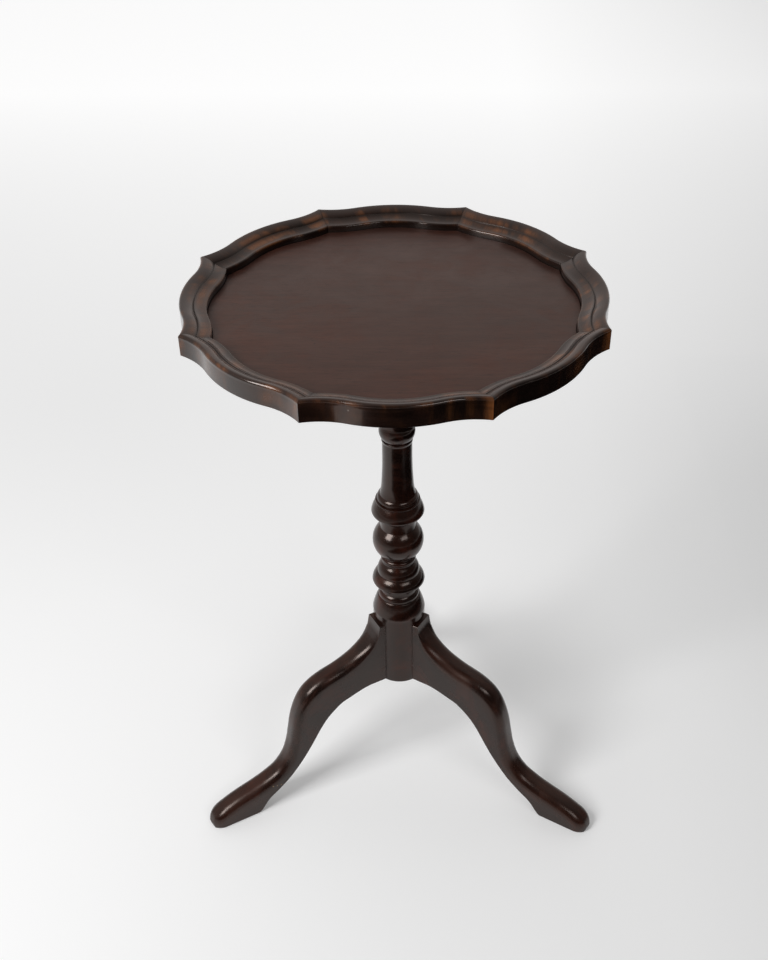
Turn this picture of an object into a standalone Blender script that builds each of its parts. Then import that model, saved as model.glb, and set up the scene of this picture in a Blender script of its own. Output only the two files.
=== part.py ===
"""Tilt-top tripod table: a turned column on three cabriole legs carries a wooden block,
and a round tray top with an eight-lobed moulded rim hinges on that block.

Metres, +Z up. Every piece is modelled about the column's axis, and the empty table_frame
moves them all so that the origin is the centre of the table's footprint on the floor.
"""

import math

import bmesh
import bpy
from mathutils import Matrix, Vector

MM = 0.001
GAP = 0.3 * MM  # clearance between pieces that touch on the real table

# The top: an eight-lobed outline of circular arcs, each lobe a crown between two hollows.
LOBES = 8
CUSP_RADIUS = 201.3 * MM
CROWN_RADIUS = 194.8 * MM  # from the axis to the middle of a lobe
CROWN_ARC = 120.0 * MM
HOLLOW_ARC = 70.0 * MM
TOP_TURN = math.radians(1.6)  # the top sits a little askew on its bearers,
TOP_SHIFT = (-1.5 * MM, 0.6 * MM)  # and a little off the column's centre
TOP_UNDERSIDE = 588.0 * MM
RIM_WIDTH = 24.5 * MM
REBATE_WIDTH = 5.0 * MM
REBATE_DEPTH = 3.3 * MM
PANEL_FACE = 593.6 * MM

# The base
COLUMN_BOTTOM = 133.0 * MM
COLUMN_RADIUS = 28.2 * MM
LEG_ANGLES = {"leg_front_left": -150.0, "leg_front_right": -30.0, "leg_back": 90.0}
LEG_HALF_WIDTH = 13.0 * MM
FOOT_REACH = 246.0 * MM
TOE_CENTRE = 232.0 * MM
SOCKET_TOP = 211.3 * MM
SOCKET_DEPTH = 11.5 * MM
SCRIBE_GAP = 0.45 * MM  # between the column and the hollowed end of a leg

# The block, on which the top tilts about an axis along X
BLOCK_SIDE = 70.0 * MM
BLOCK_TOP = 587.4 * MM
BLOCK_HALF_HEIGHT = 12.0 * MM
TENON_RADIUS = 14.0 * MM
PIVOT_Y = -BLOCK_SIDE / 2 + BLOCK_HALF_HEIGHT
PIVOT_Z = BLOCK_TOP - BLOCK_HALF_HEIGHT
PIN_RADIUS = 4.0 * MM

# The bearers under the top, one each side of the block
BEARER_INSIDE = 35.4 * MM
BEARER_WIDTH = 20.0 * MM
BEARER_LENGTH = 280.0 * MM
BEARER_BOTTOM = 563.4 * MM

# The catch: a sliding bolt that enters a keeper on the block's back face
BOLT_WIDTH = 10.0 * MM
BOLT_HEIGHT = 5.5 * MM
BOLT_LENGTH = 42.0 * MM
BOLT_REST_GAP = 1.5 * MM
PLATE_THICKNESS = 1.5 * MM
KEEPER_THICKNESS = 1.2 * MM

# The footprint's centre lies between the back toe and the front of the rim.
AXIS_Y = (CROWN_RADIUS - TOP_SHIFT[1] - FOOT_REACH) / 2


# ---------------------------------------------------------------- scene and helpers

for old in list(bpy.data.objects):
    bpy.data.objects.remove(old, do_unlink=True)

parts = bpy.data.collections.new("tilt_top_table")
cutters = bpy.data.collections.new("tilt_top_table_cutters")
bpy.context.scene.collection.children.link(parts)
bpy.context.scene.collection.children.link(cutters)


def empty(name, location):
    """An empty at a place given about the column's axis."""
    frame = bpy.data.objects.new(name, None)
    frame.location = location
    parts.objects.link(frame)
    return frame


table_frame = empty("table_frame", (0, AXIS_Y, 0))
tilt_axis = empty("tilt_axis", (0, AXIS_Y + PIVOT_Y, PIVOT_Z))


def material(name, colour, roughness, metallic=0.0):
    made = bpy.data.materials.new(name)
    made.use_nodes = True
    shader = made.node_tree.nodes["Principled BSDF"]
    shader.inputs["Base Color"].default_value = (*colour, 1)
    shader.inputs["Roughness"].default_value = roughness
    shader.inputs["Metallic"].default_value = metallic
    made.diffuse_color = (*colour, 1)
    return made


def mahogany(name):
    return material(name, (0.055, 0.026, 0.017), 0.32)


def beech(name):
    return material(name, (0.22, 0.12, 0.06), 0.6)


def brass(name):
    return material(name, (0.55, 0.38, 0.14), 0.35, 1.0)


def steel(name):
    return material(name, (0.32, 0.32, 0.33), 0.45, 1.0)


def add_object(name, mesh, finish=None, rides=table_frame, turn=0.0, shift=(0, 0)):
    """A mesh modelled about an upright axis, turned and shifted; a cutter has no finish."""
    made = bpy.data.objects.new(name, mesh)
    made.parent = rides
    made.matrix_parent_inverse = Matrix.Translation(
        Vector((0, AXIS_Y, 0)) - rides.location
    )
    made.rotation_euler.z = turn
    made.location = (*shift, 0)
    if finish is None:
        cutters.objects.link(made)
        made.hide_render = True
        made.display_type = "WIRE"
    else:
        parts.objects.link(made)
        mesh.materials.append(finish(name))
    return made


def boolean(target, cutter, operation="DIFFERENCE"):
    step = target.modifiers.new(cutter.name, "BOOLEAN")
    step.object = cutter
    step.operation = operation
    step.solver = "EXACT"


def bow(start, end, rise, degrees_per_step):
    """Points after start on the arc to end that rises to the left of the way it goes."""
    start, end = Vector(start), Vector(end)
    half = (end - start).length / 2
    if abs(rise) < 1e-9:
        return [tuple(end)]
    along = (end - start).normalized()
    left = Vector((-along.y, along.x)) * math.copysign(1, rise)
    rise = abs(rise)
    radius = (half * half + rise * rise) / (2 * rise)
    reach = 2 * math.atan2(rise, half)
    count = max(2, math.ceil(math.degrees(2 * reach) / degrees_per_step))
    middle = (start + end) / 2
    found = []
    for step in range(1, count + 1):
        angle = -reach + 2 * reach * step / count
        out = radius * math.cos(angle) - (radius - rise)
        found.append(tuple(middle + along * radius * math.sin(angle) + left * out))
    return found


def bowed_line(stretches, degrees_per_step=30.0):
    """A line through (x, y, rise) in millimetres, each with the bow of the stretch that ends there."""
    line = [(stretches[0][0] * MM, stretches[0][1] * MM)]
    for x, y, rise in stretches[1:]:
        line += bow(line[-1], (x * MM, y * MM), rise * MM, degrees_per_step)
    return line


def turned_mesh(name, profile, steps):
    """A (radius, height) profile, from top to bottom, turned about Z."""
    line = bpy.data.meshes.new(name)
    line.from_pydata(
        [(radius, 0, height) for radius, height in profile],
        [(i, i + 1) for i in range(len(profile) - 1)],
        [],
    )
    lathe = bpy.data.objects.new(name, line)
    cutters.objects.link(lathe)
    screw = lathe.modifiers.new("lathe", "SCREW")
    screw.axis = "Z"
    screw.steps = screw.render_steps = steps
    screw.use_merge_vertices = True
    screw.merge_threshold = 1e-5
    return baked(lathe)


def baked(source):
    """The evaluated mesh of a helper object, welded; the helper is removed."""
    bpy.context.view_layer.update()
    graph = bpy.context.evaluated_depsgraph_get()
    mesh = bpy.data.meshes.new_from_object(source.evaluated_get(graph))
    mesh.transform(source.matrix_world)
    name = source.name
    bpy.data.objects.remove(source, do_unlink=True)
    mesh.name = name
    work = bmesh.new()
    work.from_mesh(mesh)
    bmesh.ops.remove_doubles(work, verts=work.verts, dist=1e-5)
    bmesh.ops.dissolve_degenerate(work, edges=work.edges, dist=1e-6)
    bmesh.ops.recalc_face_normals(work, faces=work.faces)
    work.to_mesh(mesh)
    work.free()
    mesh.materials.clear()
    return mesh


def flat_curve(name, outline):
    curve = bpy.data.curves.new(name, "CURVE")
    curve.dimensions = "2D"
    spline = curve.splines.new("POLY")
    spline.points.add(len(outline) - 1)
    for point, (x, y) in zip(spline.points, outline):
        point.co = (x, y, 0, 1)
    spline.use_cyclic_u = True
    return curve


def slab_mesh(name, outline, low, high, side=False):
    """A flat outline between two heights. On its side, the outline is (y, z) and the heights are x."""
    curve = flat_curve(name, outline)
    curve.fill_mode = "BOTH"
    curve.extrude = (high - low) / 2
    source = bpy.data.objects.new(name, curve)
    cutters.objects.link(source)
    lift = Matrix.Translation((0, 0, (low + high) / 2))
    on_side = Matrix(((0, 0, 1, 0), (1, 0, 0, 0), (0, 1, 0, 0), (0, 0, 0, 1)))
    source.matrix_world = on_side @ lift if side else lift
    return baked(source)


def box_mesh(name, low, high):
    work = bmesh.new()
    bmesh.ops.create_cube(work, size=1)
    size = Vector(high) - Vector(low)
    centre = (Vector(high) + Vector(low)) / 2
    work.transform(Matrix.Translation(centre) @ Matrix.Diagonal((*size, 1)))
    mesh = bpy.data.meshes.new(name)
    work.to_mesh(mesh)
    work.free()
    return mesh


def facing(place, direction):
    """Moves +Z to point along direction from place."""
    return Matrix.Translation(place) @ Vector((0, 0, 1)).rotation_difference(
        Vector(direction)
    ).to_matrix().to_4x4()


def smooth(target, degrees=40.0):
    target.data.shade_smooth()
    target.data.set_sharp_from_angle(angle=math.radians(degrees))


SCREW_STEPS = 12
SCREW_SLOT = 0.7 * MM


def wood_screw(name, head_at, out, length, radius, holds, rides=table_frame, sunk=0.0):
    """A countersunk slotted screw with its pilot hole cut in every piece that it holds."""
    head = 2.0 * radius
    profile = [
        (0, 0),
        (head, 0),
        (radius, -(head - radius)),
        (radius, -(length - 2 * radius)),
        (0.2 * radius, -length),
        (0, -length),
    ]
    mesh = turned_mesh(name, profile, SCREW_STEPS)
    mesh.transform(facing(head_at, out))
    screw = add_object(name, mesh, steel, rides)
    slot = box_mesh(
        name + "_slot",
        (-SCREW_SLOT / 2, -1.2 * head, -0.45 * (head - radius)),
        (SCREW_SLOT / 2, 1.2 * head, head),
    )
    slot.transform(facing(head_at, out))
    boolean(screw, add_object(name + "_slot", slot, rides=rides))
    cone_gap = 1.5 * GAP
    hole = [
        (0, sunk + 2 * MM),
        (head + cone_gap, sunk + 2 * MM),
        (head + cone_gap, 0),
        (radius + cone_gap, -(head - radius)),
        (radius + GAP, -(head - radius) - GAP),
        (radius + GAP, -length - GAP),
        (0, -length - GAP),
    ]
    mesh = turned_mesh(name + "_hole", hole, SCREW_STEPS)
    mesh.transform(facing(head_at, out))
    cutter = add_object(name + "_hole", mesh, rides=rides)
    for piece in holds:
        boolean(piece, cutter)
    smooth(screw)
    return screw


# ---------------------------------------------------------------- turned column

# Radius, height and bow of each stretch in millimetres, from the tenon's top down.
COLUMN_PROFILE = (
    (0, 587.1, 0), (14, 587.1, 0), (14, 563.1, 0), (20, 563.1, 0),  # tenon, shoulder
    (20, 559.5, 0), (19, 558.5, 0), (19, 550.5, 4.0), (17.6, 549.5, 0),  # top bead
    (15.9, 472, -1.0), (16.6, 463, -0.2), (14.7, 447.4, 2.6),  # neck, collar bead
    (15.7, 446.8, 0), (15.7, 445.4, 0), (15.2, 442.6, -0.2), (15.2, 434, 0),
    (16.3, 397, -0.35), (18.6, 380, -0.5), (21.6, 374, 0.9),  # trumpet shaft, its foot
    (21.1, 373.2, 0), (23.1, 372.6, 0), (23.2, 371.4, 0), (22.8, 370.4, 0),
    (27.6, 358.5, 0.6), (25.0, 354.7, 0.7), (19.3, 352.5, 0), (18.4, 350, -0.4),  # ring
    (18.8, 337.6, -0.2), (17.4, 300.6, 8.9),  # ball
    (16.6, 300.0, 0), (16.8, 298.2, 0), (17.8, 293.4, 1.4), (17.2, 291.8, 0),
    (17.8, 289.4, -0.2), (22.6, 277.2, 1.3), (22.0, 276.4, 0), (23.0, 275.7, 0),
    (28.2, 266, 1.0), (25.2, 262.3, 0.7), (20.6, 259.6, 0), (19.9, 258, 0),  # lower ring
    (19.7, 251.4, -0.3), (22.1, 244.8, 1.0), (21.7, 243.9, 0), (22.7, 243.2, 0),
    (28.4, 226, 0.6), (28.2, 223.5, 0.1), (28.2, 133, 0), (0, 133, 0),  # bulge, base
)
COLUMN_STEPS = 28

column = add_object(
    "column",
    turned_mesh("column", bowed_line(COLUMN_PROFILE, 45.0), COLUMN_STEPS),
    mahogany,
)
smooth(column)


# ---------------------------------------------------------------- three cabriole legs

# Stations down a leg, in millimetres: distance from the axis and height of the upper
# edge, the same of the lower edge, and the rounding of the upper corners.
LEG_STATIONS = (
    ((20, 215.2), (20, 132.7), 1.5),
    ((30.9, 214.9), (36, 132.7), 1.5),
    ((32.4, 206.0), (44, 132.7), 5.0),
    ((40.6, 192.3), (52, 131.6), 8.5),
    ((56.8, 179.7), (60.8, 129.2), 10.0),
    ((77.7, 170.4), (70.2, 126.1), 10.0),
    ((100.0, 163.9), (80.2, 122.6), 10.0),
    ((115.4, 156.0), (90.1, 115.6), 10.0),
    ((125.4, 145.8), (98.0, 108.4), 10.0),
    ((132.7, 131.5), (105.5, 98.9), 10.0),
    ((137.8, 115.2), (112.2, 88.4), 10.0),
    ((141.1, 97.8), (119.1, 76.8), 10.0),
    ((144.9, 79.6), (126.9, 64.9), 10.0),
    ((151.8, 61.8), (135.9, 52.8), 10.0),
    ((163.1, 48.5), (148.9, 38.0), 10.0),
    ((176.5, 41.3), (163.1, 26.0), 10.0),
    ((189.0, 36.8), (177.5, 15.4), 10.0),
    ((201.7, 33.1), (190.6, 0), 10.0),
    ((212.4, 29.8), (204, 0), 10.0),
    ((221.5, 26.3), (214, 0), 10.0),
    ((228.8, 23.0), (224, 0), 10.0),
    ((235.5, 18.8), (232, 0), 9.0),
    ((242.0, 13.0), (239, 0), 7.0),
    ((246, 5.4), (243.5, 0), 3.5),
)
CORNER_STEPS = 3


def toe_half_width(reach):
    """Half the leg's width, which narrows to a round toe in plan."""
    past = max(0.0, reach - TOE_CENTRE) / (FOOT_REACH - TOE_CENTRE + 0.3 * MM)
    return LEG_HALF_WIDTH * math.sqrt(max(0.0, 1 - past * past))


def leg_section(upper, lower, rounding):
    """One section across the leg: square below, with round upper corners."""
    upper, lower = Vector(upper) * MM, Vector(lower) * MM
    depth = (lower - upper).length
    down = (lower - upper).normalized()
    rounding = min(rounding * MM, 0.8 * depth)
    corner = []
    for step in range(CORNER_STEPS + 1):
        angle = math.radians(90) * step / CORNER_STEPS
        side = LEG_HALF_WIDTH - rounding + rounding * math.sin(angle)
        corner.append((side, rounding - rounding * math.cos(angle)))
    half = corner + [(LEG_HALF_WIDTH, depth)]
    section = []
    for side, below in half + [(-side, below) for side, below in reversed(half)]:
        place = upper + down * below
        scale = toe_half_width(place.x) / LEG_HALF_WIDTH
        section.append((place.x, side * scale, place.y))
    return section


def leg_mesh(name):
    work = bmesh.new()
    rings = [
        [work.verts.new(point) for point in leg_section(*station)]
        for station in LEG_STATIONS
    ]
    for first, second in zip(rings, rings[1:]):
        count = len(first)
        for i in range(count):
            j = (i + 1) % count
            work.faces.new((first[i], first[j], second[j], second[i]))
    work.faces.new(rings[0])
    work.faces.new(list(reversed(rings[-1])))
    bmesh.ops.remove_doubles(work, verts=work.verts, dist=1e-5)
    bmesh.ops.recalc_face_normals(work, faces=work.faces)
    mesh = bpy.data.meshes.new(name)
    work.to_mesh(mesh)
    work.free()
    return mesh


def dovetail_outline(slack):
    """Plan of the dovetail that joins a leg to the column, widest at its inner end."""
    mouth = COLUMN_RADIUS + 3 * MM
    root = COLUMN_RADIUS - SOCKET_DEPTH - slack
    return [
        (mouth, -(4.6 * MM + slack)),
        (mouth, 4.6 * MM + slack),
        (root, 7.0 * MM + slack),
        (root, -(7.0 * MM + slack)),
    ]


legs = {}
column_round = turned_mesh(
    "column_round",
    [
        (0, 240 * MM),
        (COLUMN_RADIUS + SCRIBE_GAP, 240 * MM),
        (COLUMN_RADIUS + SCRIBE_GAP, 120 * MM),
        (0, 120 * MM),
    ],
    COLUMN_STEPS * 2,
)
scribe = add_object("column_scribe", column_round)
for name, angle in LEG_ANGLES.items():
    turn = math.radians(angle)
    socket = slab_mesh(
        name + "_socket", dovetail_outline(GAP), COLUMN_BOTTOM - 5 * MM, SOCKET_TOP
    )
    boolean(column, add_object(name + "_socket", socket, turn=turn))
    leg = add_object(name, leg_mesh(name), mahogany, turn=turn)
    boolean(leg, scribe)
    tongue = slab_mesh(
        name + "_tongue", dovetail_outline(0), COLUMN_BOTTOM, SOCKET_TOP - GAP
    )
    boolean(leg, add_object(name + "_tongue", tongue, turn=turn), "UNION")
    smooth(leg, 50)
    legs[name] = leg


# ---------------------------------------------------------------- brace under the column

BRACE_TOP = 132.4 * MM
BRACE_THICKNESS = 1.5 * MM
BRACE_ARM = 43.0 * MM
BRACE_HALF_WIDTH = 7.0 * MM


def brace_outline():
    """Three arms with round ends, one under each leg, that meet in a waist."""
    outline = []
    for angle in (-150, -30, 90):
        arm = [(BRACE_ARM - BRACE_HALF_WIDTH, -BRACE_HALF_WIDTH)]
        arm += bow(
            arm[0], (arm[0][0], BRACE_HALF_WIDTH), -BRACE_HALF_WIDTH * 0.999, 45.0
        )
        waist = BRACE_HALF_WIDTH / math.tan(math.radians(60))
        arm.append((waist, BRACE_HALF_WIDTH))
        turn = Matrix.Rotation(math.radians(angle), 2)
        outline += [tuple(turn @ Vector(point)) for point in arm]
    return outline


brace_plate = add_object(
    "brace_plate",
    slab_mesh("brace_plate", brace_outline(), BRACE_TOP - BRACE_THICKNESS, BRACE_TOP),
    steel,
)
wood_screw(
    "brace_screw_centre",
    (0, 0, BRACE_TOP - BRACE_THICKNESS),
    (0, 0, -1),
    22 * MM,
    1.9 * MM,
    (brace_plate, column),
)
for name, angle in LEG_ANGLES.items():
    reach = Vector((36.0 * MM, 0, BRACE_TOP - BRACE_THICKNESS))
    wood_screw(
        name.replace("leg", "brace_screw"),
        Matrix.Rotation(math.radians(angle), 3, "Z") @ reach,
        (0, 0, -1),
        20 * MM,
        1.9 * MM,
        (brace_plate, legs[name]),
    )


# ---------------------------------------------------------------- tilt block and its pivots

BLOCK_HALF = BLOCK_SIDE / 2
BLOCK_BOTTOM = BLOCK_TOP - 2 * BLOCK_HALF_HEIGHT
block_outline = [(BLOCK_HALF, BLOCK_BOTTOM), (PIVOT_Y, BLOCK_BOTTOM)]
block_outline += bow(
    block_outline[-1], (PIVOT_Y, BLOCK_TOP), BLOCK_HALF_HEIGHT * 0.999, 15.0
)
block_outline.append((BLOCK_HALF, BLOCK_TOP))
tilt_block = add_object(
    "tilt_block",
    slab_mesh("tilt_block", block_outline, -BLOCK_HALF, BLOCK_HALF, side=True),
    mahogany,
)
tenon_hole = turned_mesh(
    "tenon_hole",
    [
        (0, BLOCK_TOP + 5 * MM),
        (TENON_RADIUS + GAP, BLOCK_TOP + 5 * MM),
        (TENON_RADIUS + GAP, BLOCK_BOTTOM - 5 * MM),
        (0, BLOCK_BOTTOM - 5 * MM),
    ],
    COLUMN_STEPS,
)
boolean(tilt_block, add_object("tenon_hole", tenon_hole))

# A wedge driven into a sawn slot spreads the tenon in the block.
WEDGE_HALF_LENGTH = 12.0 * MM
WEDGE_TOP = 587.0 * MM
WEDGE_DEPTH = 17.0 * MM


def wedge_outline(slack):
    """Side of the tapered wedge as (y, z)."""
    head, tip = 1.4 * MM + slack, 0.5 * MM + slack
    foot = WEDGE_TOP - WEDGE_DEPTH - slack
    top = WEDGE_TOP + 10 * slack
    return [(-tip, foot), (tip, foot), (head, top), (-head, top)]


add_object(
    "tenon_wedge",
    slab_mesh(
        "tenon_wedge",
        wedge_outline(0),
        -WEDGE_HALF_LENGTH,
        WEDGE_HALF_LENGTH,
        side=True,
    ),
    beech,
)
wedge_slot = slab_mesh(
    "wedge_slot", wedge_outline(GAP), -TENON_RADIUS * 1.2, TENON_RADIUS * 1.2, side=True
)
boolean(column, add_object("wedge_slot", wedge_slot))

PIN_STEPS = 16
PIN_IN_BLOCK = 18.0 * MM
PIN_LENGTH = PIN_IN_BLOCK + BEARER_WIDTH
pins = {}
for side, sign in (("left", -1), ("right", 1)):
    inner = BLOCK_HALF - PIN_IN_BLOCK
    name = "pivot_pin_" + side
    profile = [
        (0, PIN_LENGTH),
        (PIN_RADIUS - 0.6 * MM, PIN_LENGTH),
        (PIN_RADIUS, PIN_LENGTH - 0.6 * MM),
        (PIN_RADIUS, 0),
        (0, 0),
    ]
    mesh = turned_mesh(name, profile, PIN_STEPS)
    mesh.transform(facing((sign * inner, PIVOT_Y, PIVOT_Z), (sign, 0, 0)))
    pins[side] = add_object(name, mesh, steel)
    smooth(pins[side])
    hole = [
        (0, PIN_LENGTH),
        (PIN_RADIUS + GAP, PIN_LENGTH),
        (PIN_RADIUS + GAP, -GAP),
        (0, -GAP),
    ]
    mesh = turned_mesh(name + "_socket", hole, PIN_STEPS)
    mesh.transform(facing((sign * inner, PIVOT_Y, PIVOT_Z), (sign, 0, 0)))
    boolean(tilt_block, add_object(name + "_socket", mesh))


# ---------------------------------------------------------------- panel of the top

LOBE_HALF_ANGLE = math.pi / LOBES


def lobe_line(inset, crown_steps=6, hollow_steps=3):
    """Half-open line of one lobe, set in from the edge, from its left mitre to its right one.

    The lobe's middle is on +Y. The crown arc and the hollow arcs stay concentric with
    the edge's own arcs, and the hollows end on the mitre lines.
    """
    crown_centre = Vector((0, CROWN_RADIUS - CROWN_ARC))
    cusp = Vector((math.sin(LOBE_HALF_ANGLE), math.cos(LOBE_HALF_ANGLE))) * CUSP_RADIUS
    to_cusp = cusp - crown_centre
    spread = CROWN_ARC + HOLLOW_ARC
    bend = math.acos(
        (spread**2 + to_cusp.length**2 - HOLLOW_ARC**2) / (2 * spread * to_cusp.length)
    )
    turn = math.atan2(to_cusp.x, to_cusp.y) - bend
    hollow_centre = crown_centre + Vector((math.sin(turn), math.cos(turn))) * spread
    radius = HOLLOW_ARC + inset
    # The mitre line through the axis, and where the hollow arc crosses it.
    mitre = Vector((math.sin(LOBE_HALF_ANGLE), math.cos(LOBE_HALF_ANGLE)))
    along = hollow_centre.dot(mitre)
    off = math.sqrt(radius**2 - (hollow_centre - mitre * along).length_squared)
    end = mitre * (along - off) - hollow_centre
    first = math.atan2(-math.cos(turn), -math.sin(turn))
    last = math.atan2(end.y, end.x)
    right = []
    for step in range(crown_steps // 2 + 1):
        angle = turn * step / (crown_steps // 2)
        right.append(
            crown_centre
            + Vector((math.sin(angle), math.cos(angle))) * (CROWN_ARC - inset)
        )
    for step in range(1, hollow_steps + 1):
        angle = first + (last - first) * step / hollow_steps
        right.append(
            hollow_centre + Vector((math.cos(angle), math.sin(angle))) * radius
        )
    left = [Vector((-point.x, point.y)) for point in reversed(right[1:])]
    return left + right


def lobed_outline(inset):
    """The whole outline of the top, set in from its edge."""
    outline = []
    for lobe in range(LOBES):
        turn = Matrix.Rotation(-2 * LOBE_HALF_ANGLE * lobe, 2)
        outline += [tuple(turn @ point) for point in lobe_line(inset)[:-1]]
    return outline


top_panel = add_object(
    "top_panel",
    slab_mesh(
        "top_panel",
        lobed_outline(RIM_WIDTH - REBATE_WIDTH + GAP),
        TOP_UNDERSIDE,
        TOP_UNDERSIDE + REBATE_DEPTH - GAP,
    ),
    mahogany,
    tilt_axis,
    TOP_TURN,
    TOP_SHIFT,
)
raised = slab_mesh(
    "panel_raised",
    lobed_outline(RIM_WIDTH + GAP),
    TOP_UNDERSIDE + REBATE_DEPTH / 2,
    PANEL_FACE,
)
boolean(
    top_panel,
    add_object("panel_raised", raised, None, tilt_axis, TOP_TURN, TOP_SHIFT),
    "UNION",
)


# ---------------------------------------------------------------- moulded rim, in mitred lengths

# The rim's section in millimetres: distance in from the edge, height and bow.
RIM_SECTION = (
    (0, 588, 0), (0, 605.2, 0), (3.2, 608.6, 1.3), (12.2, 603.8, 0.9),  # edge, crest
    (12.8, 603.1, 0), (13.6, 603.6, 0), (22.6, 600.4, -0.8),  # quirk, cove
    (24.5, 598.9, 0.5), (24.5, 591.3, 0), (19.5, 591.3, 0), (19.5, 588, 0),  # rebate
)


def rim_segment_mesh(name):
    """The moulding swept along one lobe and a little past its mitres."""
    section = bpy.data.objects.new("rim_section", flat_curve("rim_section", [
        (-x, z - TOP_UNDERSIDE) for x, z in bowed_line(RIM_SECTION, 60.0)
    ]))
    cutters.objects.link(section)
    line = lobe_line(0)
    past = 3.0 * MM
    line[0] += (line[0] - line[1]).normalized() * past
    line[-1] += (line[-1] - line[-2]).normalized() * past
    path = bpy.data.curves.new(name, "CURVE")
    path.dimensions = "3D"
    path.twist_mode = "Z_UP"
    path.bevel_mode = "OBJECT"
    path.bevel_object = section
    path.use_fill_caps = True
    spline = path.splines.new("POLY")
    spline.points.add(len(line) - 1)
    for point, place in zip(spline.points, reversed(line)):
        point.co = (place.x, place.y, TOP_UNDERSIDE, 1)
    sweep = bpy.data.objects.new(name, path)
    cutters.objects.link(sweep)
    mesh = baked(sweep)
    bpy.data.objects.remove(section, do_unlink=True)
    return mesh


def lobe_wedge():
    """The slice of the plan between two mitres, half a gap clear of each."""
    apex = GAP / 2 / math.sin(LOBE_HALF_ANGLE)
    far = CUSP_RADIUS * 1.2
    half = far * math.tan(LOBE_HALF_ANGLE)
    return [(0, apex), (half, apex + far), (-half, apex + far)]


for lobe in range(LOBES):
    name = f"rim_segment_{lobe + 1}"
    turn = TOP_TURN + math.pi - 2 * LOBE_HALF_ANGLE * lobe
    mesh = rim_segment_mesh(name)
    segment = add_object(name, mesh, mahogany, tilt_axis, turn, TOP_SHIFT)
    wedge = slab_mesh(name + "_mitres", lobe_wedge(), 580 * MM, 615 * MM)
    mitres = add_object(name + "_mitres", wedge, None, tilt_axis, turn, TOP_SHIFT)
    boolean(segment, mitres, "INTERSECT")
    smooth(segment)


# ---------------------------------------------------------------- bearers

BEARER_TOP = TOP_UNDERSIDE - GAP
BEARER_TAPER = 32.0 * MM
BEARER_END = 577.0 * MM
half_length = BEARER_LENGTH / 2
bearer_outline = [
    (-half_length + BEARER_TAPER, BEARER_BOTTOM),
    (half_length - BEARER_TAPER, BEARER_BOTTOM),
    (half_length, BEARER_END),
    (half_length, BEARER_TOP),
    (-half_length, BEARER_TOP),
    (-half_length, BEARER_END),
]
BEARER_SCREWS = {"front": -92 * MM, "middle": 12 * MM, "back": 92 * MM}
BEARER_SCREW_LENGTH = 17.5 * MM
BEARER_SCREW_SUNK = 10.5 * MM
for side, sign in (("left", -1), ("right", 1)):
    edges = sorted((sign * BEARER_INSIDE, sign * (BEARER_INSIDE + BEARER_WIDTH)))
    name = "bearer_" + side
    bearer = add_object(
        name, slab_mesh(name, bearer_outline, *edges, side=True), mahogany, tilt_axis
    )
    bore = turned_mesh(
        name + "_bore",
        [
            (0, BEARER_WIDTH + 2 * MM),
            (PIN_RADIUS + GAP, BEARER_WIDTH + 2 * MM),
            (PIN_RADIUS + GAP, -2 * MM),
            (0, -2 * MM),
        ],
        2 * PIN_STEPS,
    )
    bore.transform(facing((sign * BEARER_INSIDE, PIVOT_Y, PIVOT_Z), (sign, 0, 0)))
    boolean(bearer, add_object(name + "_bore", bore, rides=tilt_axis))
    for place, y in BEARER_SCREWS.items():
        wood_screw(
            f"bearer_screw_{side}_{place}",
            (sign * (BEARER_INSIDE + BEARER_WIDTH / 2), y, BEARER_BOTTOM + BEARER_SCREW_SUNK),
            (0, 0, -1),
            BEARER_SCREW_LENGTH,
            2.0 * MM,
            (bearer, top_panel),
            tilt_axis,
            BEARER_SCREW_SUNK,
        )


# ---------------------------------------------------------------- catch

KEEPER_FACE = BLOCK_HALF + GAP + KEEPER_THICKNESS
BOLT_NOSE = KEEPER_FACE + BOLT_REST_GAP
PLATE_TOP = TOP_UNDERSIDE - GAP
PLATE_BOTTOM = PLATE_TOP - PLATE_THICKNESS
BOLT_TOP = PLATE_BOTTOM - GAP
BOLT_BOTTOM = BOLT_TOP - BOLT_HEIGHT
PLATE_FRONT = BOLT_NOSE + 3 * MM
PLATE_LENGTH = 34.0 * MM
PLATE_HALF_WIDTH = 15.0 * MM
GUIDE_FRONT = PLATE_FRONT + 3 * MM
GUIDE_LENGTH = 12.0 * MM
STRAP = 1.4 * MM

catch_plate = add_object(
    "catch_plate",
    box_mesh(
        "catch_plate",
        (-PLATE_HALF_WIDTH, PLATE_FRONT, PLATE_BOTTOM),
        (PLATE_HALF_WIDTH, PLATE_FRONT + PLATE_LENGTH, PLATE_TOP),
    ),
    brass,
    tilt_axis,
)

# The guide strap: two feet on the plate and a square arch round the bolt, as (x, z).
arch = BOLT_WIDTH / 2 + GAP
foot_top, foot_bottom = PLATE_BOTTOM - GAP, PLATE_BOTTOM - GAP - STRAP
arch_inside = BOLT_BOTTOM - GAP
half_strap = [
    (arch, foot_top),
    (PLATE_HALF_WIDTH - 0.5 * MM, foot_top),
    (PLATE_HALF_WIDTH - 0.5 * MM, foot_bottom),
    (arch + STRAP, foot_bottom),
    (arch + STRAP, arch_inside - STRAP),
]
strap_outline = half_strap + [(-x, z) for x, z in reversed(half_strap)]
strap_outline += [(-arch, arch_inside), (arch, arch_inside)]
strap = slab_mesh("catch_guide", strap_outline, 0, GUIDE_LENGTH)
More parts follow.
